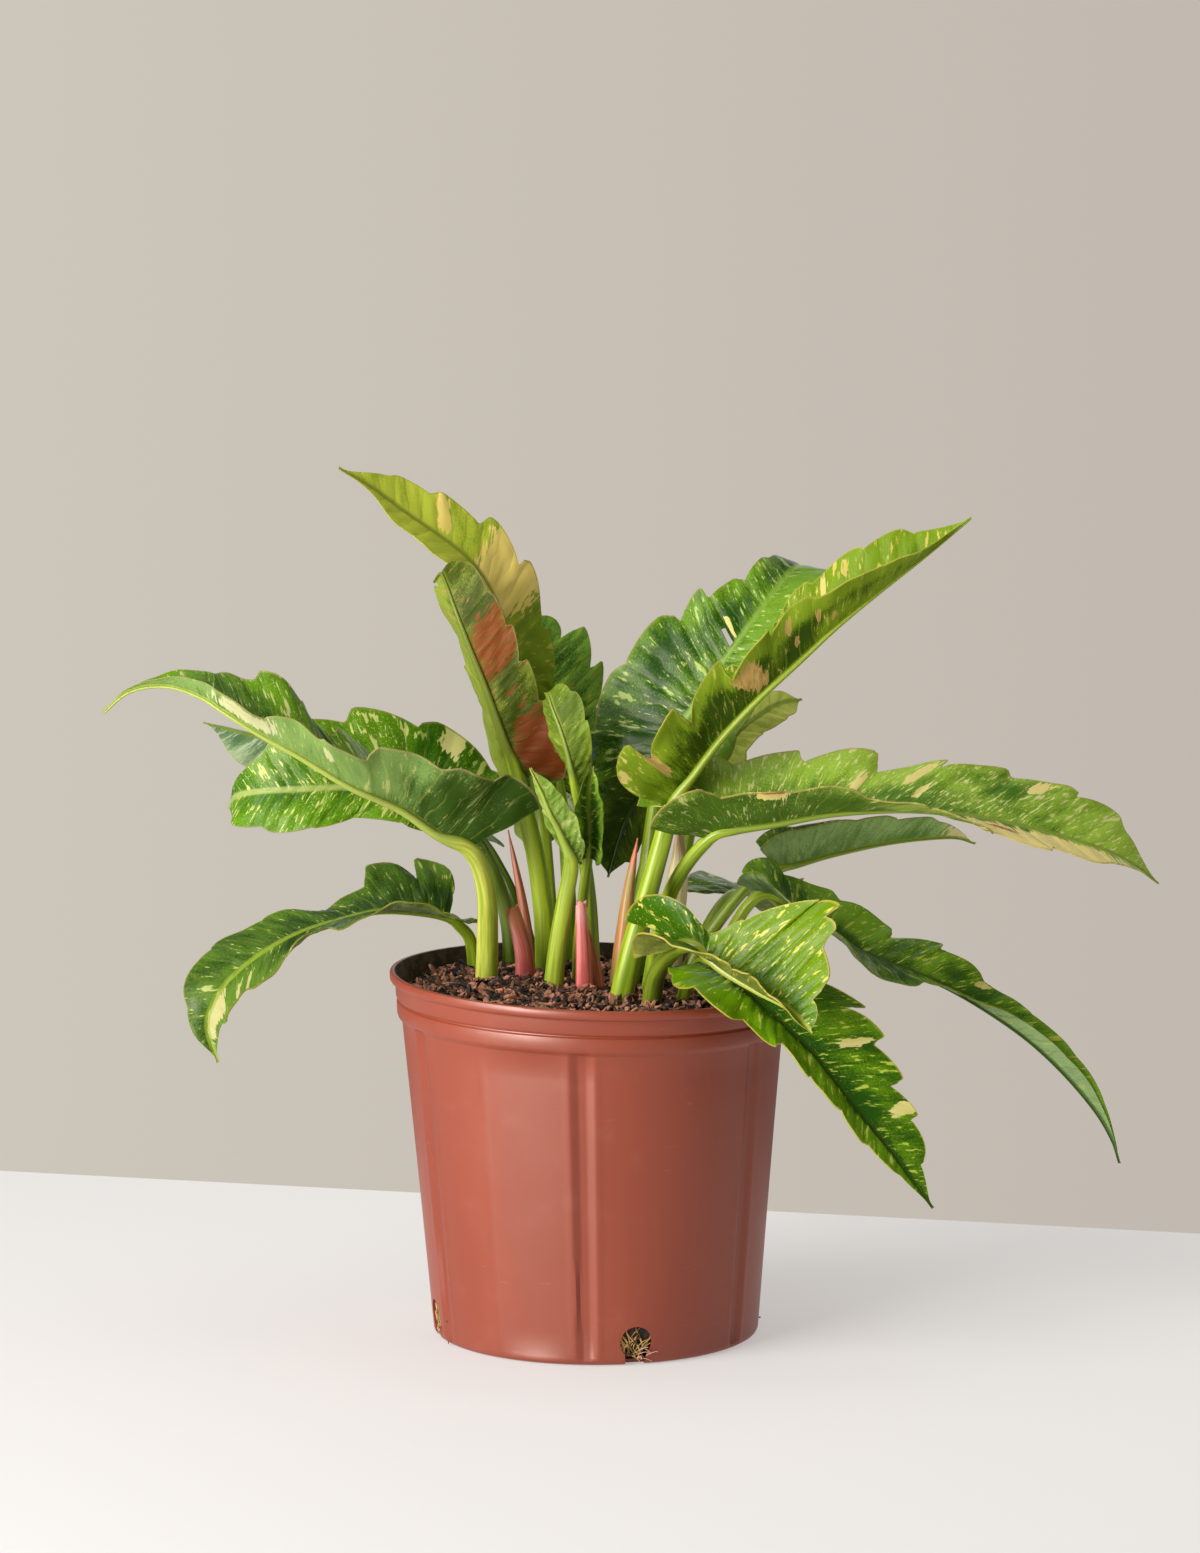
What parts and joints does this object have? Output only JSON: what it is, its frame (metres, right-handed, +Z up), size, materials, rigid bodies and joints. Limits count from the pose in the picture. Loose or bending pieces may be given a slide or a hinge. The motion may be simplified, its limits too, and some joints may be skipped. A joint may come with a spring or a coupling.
{
  "type": "potted philodendron",
  "caption": "Bushy philodendron with long toothed, cream-flecked leaves, standing in a soft terracotta-coloured nursery pot filled with bark soil.",
  "frame": {"origin": "centre of the pot's underside, on the ground", "axes": "+Z up, the front as pictured faces -Y, +X to the right along the widest spread of the leaves"},
  "size_m": [0.6823, 0.4725, 0.5613],
  "materials": {
    "pot": "thin moulded terracotta-coloured plastic with a satin sheen",
    "soil": "loose dark composted bark chips",
    "leaf": "green leaf flecked with cream and pink, satin",
    "sheath": "pink to rust-red scale leaf",
    "spear": "orange-brown rolled young leaf",
    "husk": "dry cream-coloured husk"
  },
  "bodies": {
    "root": {"pot": "pot", "soil": "soil", "leaf_left_long": "leaf", "leaf_left_low": "leaf", "leaf_left_broad": "leaf", "leaf_left_back": "leaf", "leaf_tall_left": "leaf", "leaf_salmon_back": "leaf", "leaf_tall_right": "leaf", "leaf_upright_right": "leaf", "leaf_right_long": "leaf", "leaf_right_back": "leaf", "leaf_right_drooping": "leaf", "leaf_front": "leaf", "leaf_right_low": "leaf", "leaf_young_front": "leaf", "leaf_young_cupped": "leaf", "leaf_young_folded": "leaf", "leaf_dark_centre": "leaf", "leaf_back_right": "leaf", "leaf_hanging_centre": "leaf", "leaf_back_arching": "leaf", "leaf_back_low": "leaf", "sheath_pink_left": "sheath", "sheath_pink_front": "sheath", "sheath_rust_back": "sheath", "sheath_brown_front": "spear", "spear_orange": "spear", "husk_cream": "husk"}
  },
  "joints": []
}
